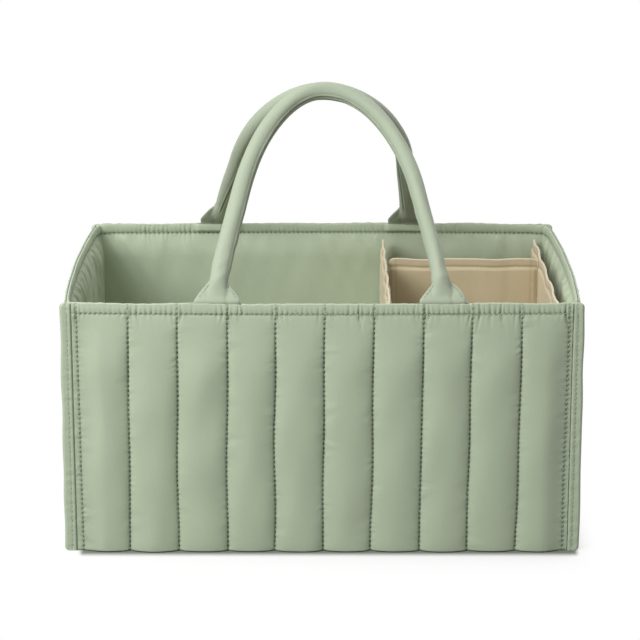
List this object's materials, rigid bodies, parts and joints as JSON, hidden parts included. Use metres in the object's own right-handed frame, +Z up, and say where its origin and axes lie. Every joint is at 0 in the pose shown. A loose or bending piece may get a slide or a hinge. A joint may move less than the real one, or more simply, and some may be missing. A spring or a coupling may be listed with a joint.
{
  "type": "diaper caddy",
  "caption": "Soft rectangular caddy with upright quilted channels, bound corners, rolled handles that fold inwards, and a lift-out divider insert.",
  "frame": {"origin": "middle of the base, on the surface that the caddy stands on", "axes": "+X to the right along the front, +Y from the front to the back, +Z up"},
  "size_m": [0.389, 0.269, 0.331],
  "materials": {
    "quilted_fabric": "sage green satin-faced cotton, padded and stitched in upright channels",
    "lining_fabric": "sage green plain-woven lining",
    "binding_fabric": "sage green folded fabric, topstitched",
    "handle_fabric": "sage green fabric rolled over a soft cord",
    "handle_cord": "soft white cotton cord",
    "divider_fabric": "khaki cream plain-woven fabric",
    "stiffener_board": "white foamed sheet",
    "fastening_tape": "green hook and loop tape"
  },
  "bodies": {
    "caddy_body": {"front_outer_panel": "quilted_fabric", "right_outer_panel": "quilted_fabric", "back_outer_panel": "quilted_fabric", "left_outer_panel": "quilted_fabric", "base_outer_panel": "quilted_fabric", "front_stiffener": "stiffener_board", "right_stiffener": "stiffener_board", "back_stiffener": "stiffener_board", "left_stiffener": "stiffener_board", "base_stiffener": "stiffener_board", "front_lining": "lining_fabric", "right_lining": "lining_fabric", "back_lining": "lining_fabric", "left_lining": "lining_fabric", "base_lining": "lining_fabric", "front_left_corner_strip": "binding_fabric", "front_right_corner_strip": "binding_fabric", "back_left_corner_strip": "binding_fabric", "back_right_corner_strip": "binding_fabric", "front_left_handle_anchor": "handle_fabric", "front_right_handle_anchor": "handle_fabric", "back_left_handle_anchor": "handle_fabric", "back_right_handle_anchor": "handle_fabric", "front_loop_tape": "fastening_tape", "back_loop_tape": "fastening_tape", "right_loop_tape": "fastening_tape"},
    "front_handle": {"front_handle_cover": "handle_fabric", "front_handle_core": "handle_cord"},
    "back_handle": {"back_handle_cover": "handle_fabric", "back_handle_core": "handle_cord"},
    "divider_insert": {"cross_divider_cover": "divider_fabric", "cross_divider_board": "stiffener_board", "middle_divider_cover": "divider_fabric", "middle_divider_board": "stiffener_board", "side_divider_cover": "divider_fabric", "side_divider_board": "stiffener_board", "front_hook_tape": "fastening_tape", "back_hook_tape": "fastening_tape", "right_hook_tape": "fastening_tape"}
  },
  "joints": [
    {"name": "front_handle_swing", "type": "hinge", "parent": "caddy_body", "child": "front_handle", "pos_m": [0, -0.12769, 0.192], "axis": [1, 0, 0], "range_deg": [0, 160]},
    {"name": "back_handle_swing", "type": "hinge", "parent": "caddy_body", "child": "back_handle", "pos_m": [0, 0.12769, 0.192], "axis": [-1, 0, 0], "range_deg": [0, 161]},
    {"name": "divider_lift", "type": "slide", "parent": "caddy_body", "child": "divider_insert", "axis": [0, 0, 1], "range_m": [0, 0.08]}
  ]
}
